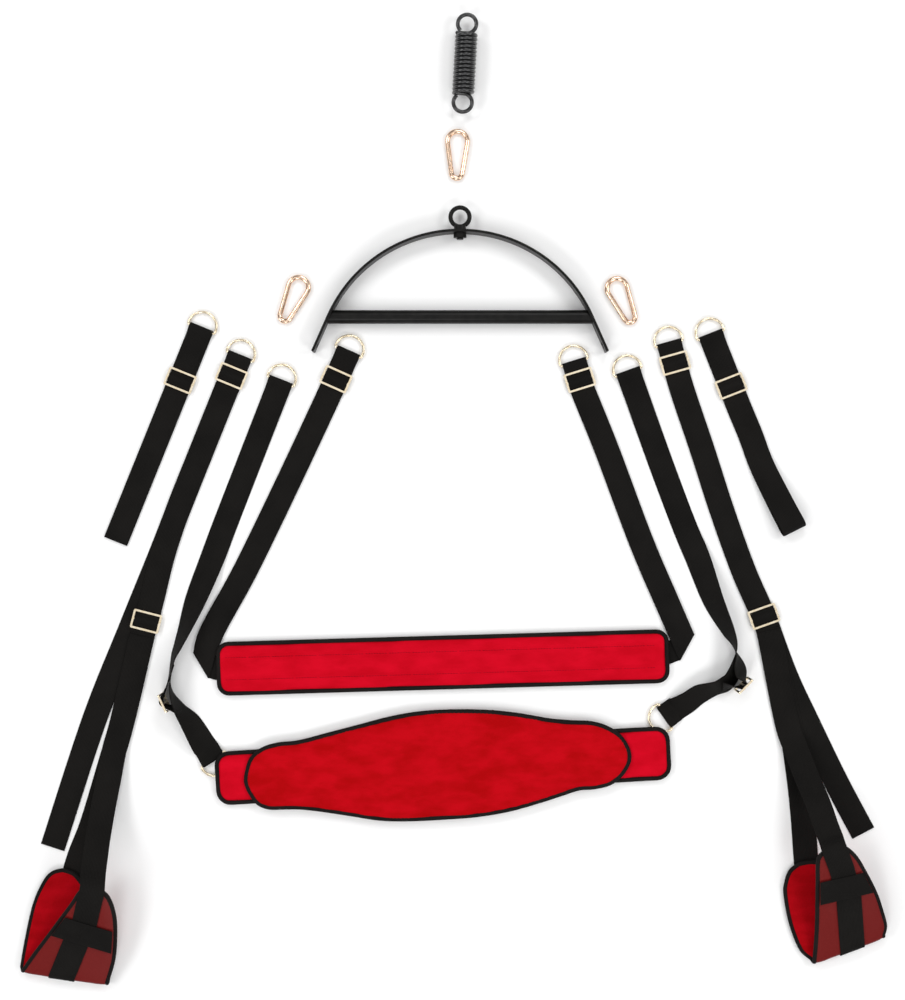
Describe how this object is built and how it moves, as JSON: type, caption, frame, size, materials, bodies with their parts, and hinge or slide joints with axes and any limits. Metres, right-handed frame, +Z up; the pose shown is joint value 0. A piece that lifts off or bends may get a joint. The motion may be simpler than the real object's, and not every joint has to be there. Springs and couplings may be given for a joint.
{
  "type": "suspension swing harness kit",
  "caption": "Suspension swing kit laid flat: steel spreader, ceiling spring, snap hooks, seat band, back cushion, hand straps and foot cuffs on webbing.",
  "frame": {"origin": "middle of the kit's footprint, on the surface it lies on", "axes": "+Y from the foot cuffs to the ceiling spring, +X to the right strap set, +Z up off the surface"},
  "size_m": [1.3305, 1.4895, 0.0952],
  "materials": {
    "black_steel": "satin",
    "spring_steel": "gloss",
    "rose_gold": "polished",
    "pale_gold": "polished",
    "black_webbing": "woven",
    "red_plush": "plush",
    "cuff_satin": "satin"
  },
  "bodies": {
    "spreader": {"spreader_arch": "black_steel", "spreader_crossbar": "black_steel"},
    "eye": {"eye_bolt": "black_steel", "eye_lock_nut": "black_steel"},
    "spring": {"spring_top_loop": "spring_steel", "spring_coil": "spring_steel"},
    "spring_end": {"spring_bottom_loop": "spring_steel"},
    "top_hook": {"top_hook_frame": "rose_gold", "top_hook_pin": "rose_gold"},
    "top_gate": {"top_hook_gate": "rose_gold"},
    "left_hook": {"left_hook_frame": "rose_gold", "left_hook_pin": "rose_gold"},
    "left_gate": {"left_hook_gate": "rose_gold"},
    "right_hook": {"right_hook_frame": "rose_gold", "right_hook_pin": "rose_gold"},
    "right_gate": {"right_hook_gate": "rose_gold"},
    "left_hand": {"left_hand_strap": "black_webbing"},
    "left_hand_ring": {"left_hand_ring": "pale_gold"},
    "left_hand_slide": {"left_hand_slide": "pale_gold"},
    "right_hand": {"right_hand_strap": "black_webbing"},
    "right_hand_ring": {"right_hand_ring": "pale_gold"},
    "right_hand_slide": {"right_hand_slide": "pale_gold"},
    "left_leg": {"left_leg_strap": "black_webbing"},
    "left_leg_ring": {"left_leg_ring": "pale_gold"},
    "left_leg_slide": {"left_leg_slide": "pale_gold"},
    "left_leg_adjuster": {"left_leg_adjuster": "pale_gold"},
    "left_cuff": {"left_cuff_strap": "black_webbing", "left_cuff_pad": "cuff_satin", "left_cuff_webbing": "black_webbing"},
    "right_leg": {"right_leg_strap": "black_webbing"},
    "right_leg_ring": {"right_leg_ring": "pale_gold"},
    "right_leg_slide": {"right_leg_slide": "pale_gold"},
    "right_leg_adjuster": {"right_leg_adjuster": "pale_gold"},
    "right_cuff": {"right_cuff_strap": "black_webbing", "right_cuff_pad": "cuff_satin", "right_cuff_webbing": "black_webbing"},
    "seat": {"seat_band": "red_plush", "seat_band_webbing": "black_webbing"},
    "left_seat": {"left_seat_strap": "black_webbing"},
    "left_seat_ring": {"left_seat_ring": "pale_gold"},
    "left_seat_slide": {"left_seat_slide": "pale_gold"},
    "right_seat": {"right_seat_strap": "black_webbing"},
    "right_seat_ring": {"right_seat_ring": "pale_gold"},
    "right_seat_slide": {"right_seat_slide": "pale_gold"},
    "back": {"back_band": "red_plush", "back_band_webbing": "black_webbing", "back_cushion": "red_plush", "left_back_band_ring": "pale_gold", "right_back_band_ring": "pale_gold"},
    "left_back": {"left_back_strap": "black_webbing", "left_back_slide": "pale_gold"},
    "left_back_ring": {"left_back_ring": "pale_gold"},
    "right_back": {"right_back_strap": "black_webbing", "right_back_slide": "pale_gold"},
    "right_back_ring": {"right_back_ring": "pale_gold"}
  },
  "joints": [
    {"name": "eye_swivel", "type": "hinge", "parent": "spreader", "child": "eye", "pos_m": [0.01, 0.411, 0.0145], "axis": [0, 1, 0], "continuous": true},
    {"name": "spring_lift", "type": "slide", "parent": "spreader", "child": "spring", "axis": [0, 0, 1], "range_m": [0, 0.12]},
    {"name": "spring_stretch", "type": "slide", "parent": "spring", "child": "spring_end", "axis": [-0.0558, -0.9984, 0], "range_m": [0, 0.04], "stiffness_N_per_m": 12000, "deforming": ["spring_coil"]},
    {"name": "top_hook_lift", "type": "slide", "parent": "spreader", "child": "top_hook", "axis": [0, 0, 1], "range_m": [0, 0.12]},
    {"name": "top_gate_swing", "type": "hinge", "parent": "top_hook", "child": "top_gate", "pos_m": [-0.00498, 0.51383, 0.004], "axis": [0, 0, -1], "range_deg": [0, 25], "stiffness_Nm_per_rad": 0.05},
    {"name": "left_hook_lift", "type": "slide", "parent": "spreader", "child": "left_hook", "axis": [0, 0, 1], "range_m": [0, 0.12]},
    {"name": "left_gate_swing", "type": "hinge", "parent": "left_hook", "child": "left_gate", "pos_m": [-0.24375, 0.28812, 0.004], "axis": [0, 0, 1], "range_deg": [0, 25], "stiffness_Nm_per_rad": 0.05},
    {"name": "right_hook_lift", "type": "slide", "parent": "spreader", "child": "right_hook", "axis": [0, 0, 1], "range_m": [0, 0.12]},
    {"name": "right_gate_swing", "type": "hinge", "parent": "right_hook", "child": "right_gate", "pos_m": [0.25634, 0.2863, 0.004], "axis": [0, 0, -1], "range_deg": [0, 25], "stiffness_Nm_per_rad": 0.05},
    {"name": "left_hand_lift", "type": "slide", "parent": "spreader", "child": "left_hand", "axis": [0, 0, 1], "range_m": [0, 0.12]},
    {"name": "left_hand_ring_swing", "type": "hinge", "parent": "left_hand", "child": "left_hand_ring", "pos_m": [-0.388, 0.261, 0.0039], "axis": [0.9273, -0.3743, 0], "range_deg": [0, 120]},
    {"name": "left_hand_slide_travel", "type": "slide", "parent": "left_hand", "child": "left_hand_slide", "axis": [-0.3743, -0.9273, 0], "range_m": [0, 0.12]},
    {"name": "right_hand_lift", "type": "slide", "parent": "spreader", "child": "right_hand", "axis": [0, 0, 1], "range_m": [0, 0.12]},
    {"name": "right_hand_ring_swing", "type": "hinge", "parent": "right_hand", "child": "right_hand_ring", "pos_m": [0.396, 0.251, 0.0039], "axis": [0.9306, 0.3661, 0], "range_deg": [0, 120]},
    {"name": "right_hand_slide_travel", "type": "slide", "parent": "right_hand", "child": "right_hand_slide", "axis": [0.3644, -0.9312, 0], "range_m": [0, 0.06]},
    {"name": "left_leg_lift", "type": "slide", "parent": "spreader", "child": "left_leg", "axis": [0, 0, 1], "range_m": [0, 0.12]},
    {"name": "left_leg_ring_swing", "type": "hinge", "parent": "left_leg", "child": "left_leg_ring", "pos_m": [-0.329, 0.218, 0.0039], "axis": [0.9247, -0.3808, 0], "range_deg": [0, 120]},
    {"name": "left_leg_slide_travel", "type": "slide", "parent": "left_leg", "child": "left_leg_slide", "axis": [-0.3808, -0.9247, 0], "range_m": [0, 0.12]},
    {"name": "left_leg_adjuster_travel", "type": "slide", "parent": "left_leg", "child": "left_leg_adjuster", "axis": [0.2474, 0.9689, 0], "range_m": [0, 0.12]},
    {"name": "left_cuff_swing", "type": "hinge", "parent": "left_leg", "child": "left_cuff", "pos_m": [-0.478, -0.209, 0.0019], "axis": [-0.9735, 0.2286, 0], "range_deg": [0, 60]},
    {"name": "right_leg_lift", "type": "slide", "parent": "spreader", "child": "right_leg", "axis": [0, 0, 1], "range_m": [0, 0.12]},
    {"name": "right_leg_ring_swing", "type": "hinge", "parent": "right_leg", "child": "right_leg_ring", "pos_m": [0.332, 0.238, 0.0039], "axis": [0.9625, 0.2711, 0], "range_deg": [0, 120]},
    {"name": "right_leg_slide_travel", "type": "slide", "parent": "right_leg", "child": "right_leg_slide", "axis": [0.2711, -0.9625, 0], "range_m": [0, 0.12]},
    {"name": "right_leg_adjuster_travel", "type": "slide", "parent": "right_leg", "child": "right_leg_adjuster", "axis": [-0.3363, 0.9417, 0], "range_m": [0, 0.12]},
    {"name": "right_cuff_swing", "type": "hinge", "parent": "right_leg", "child": "right_cuff", "pos_m": [0.484, -0.201, 0.0019], "axis": [-0.9733, -0.2294, 0], "range_deg": [0, 60]},
    {"name": "seat_lift", "type": "slide", "parent": "spreader", "child": "seat", "axis": [0, 0, 1], "range_m": [0, 0.12]},
    {"name": "left_seat_swing", "type": "hinge", "parent": "seat", "child": "left_seat", "pos_m": [-0.401, -0.236, 0], "axis": [0.506, -0.8625, 0], "range_deg": [0, 40]},
    {"name": "left_seat_ring_swing", "type": "hinge", "parent": "left_seat", "child": "left_seat_ring", "pos_m": [-0.162, 0.225, 0.0039], "axis": [0.9125, -0.4091, 0], "range_deg": [0, 120]},
    {"name": "left_seat_slide_travel", "type": "slide", "parent": "left_seat", "child": "left_seat_slide", "axis": [-0.4091, -0.9125, 0], "range_m": [0, 0.12]},
    {"name": "right_seat_swing", "type": "hinge", "parent": "seat", "child": "right_seat", "pos_m": [0.37, -0.208, 0], "axis": [0.4772, 0.8788, 0], "range_deg": [0, 55]},
    {"name": "right_seat_ring_swing", "type": "hinge", "parent": "right_seat", "child": "right_seat_ring", "pos_m": [0.186, 0.209, 0.0039], "axis": [0.9553, 0.2957, 0], "range_deg": [0, 120]},
    {"name": "right_seat_slide_travel", "type": "slide", "parent": "right_seat", "child": "right_seat_slide", "axis": [0.2957, -0.9553, 0], "range_m": [0, 0.12]},
    {"name": "back_lift", "type": "slide", "parent": "spreader", "child": "back", "axis": [0, 0, 1], "range_m": [0, 0.12]},
    {"name": "left_back_swing", "type": "hinge", "parent": "back", "child": "left_back", "pos_m": [-0.37, -0.401, 0.0039], "axis": [0.8171, 0.5764, 0], "range_deg": [0, 70]},
    {"name": "left_back_ring_swing", "type": "hinge", "parent": "left_back", "child": "left_back_ring", "pos_m": [-0.266, 0.18, 0.0039], "axis": [0.9315, -0.3639, 0], "range_deg": [0, 120]},
    {"name": "right_back_swing", "type": "hinge", "parent": "back", "child": "right_back", "pos_m": [0.326, -0.335, 0.0039], "axis": [0.4818, -0.8763, 0], "range_deg": [0, 70]},
    {"name": "right_back_ring_swing", "type": "hinge", "parent": "right_back", "child": "right_back_ring", "pos_m": [0.269, 0.194, 0.0039], "axis": [0.9411, 0.338, 0], "range_deg": [0, 120]}
  ]
}
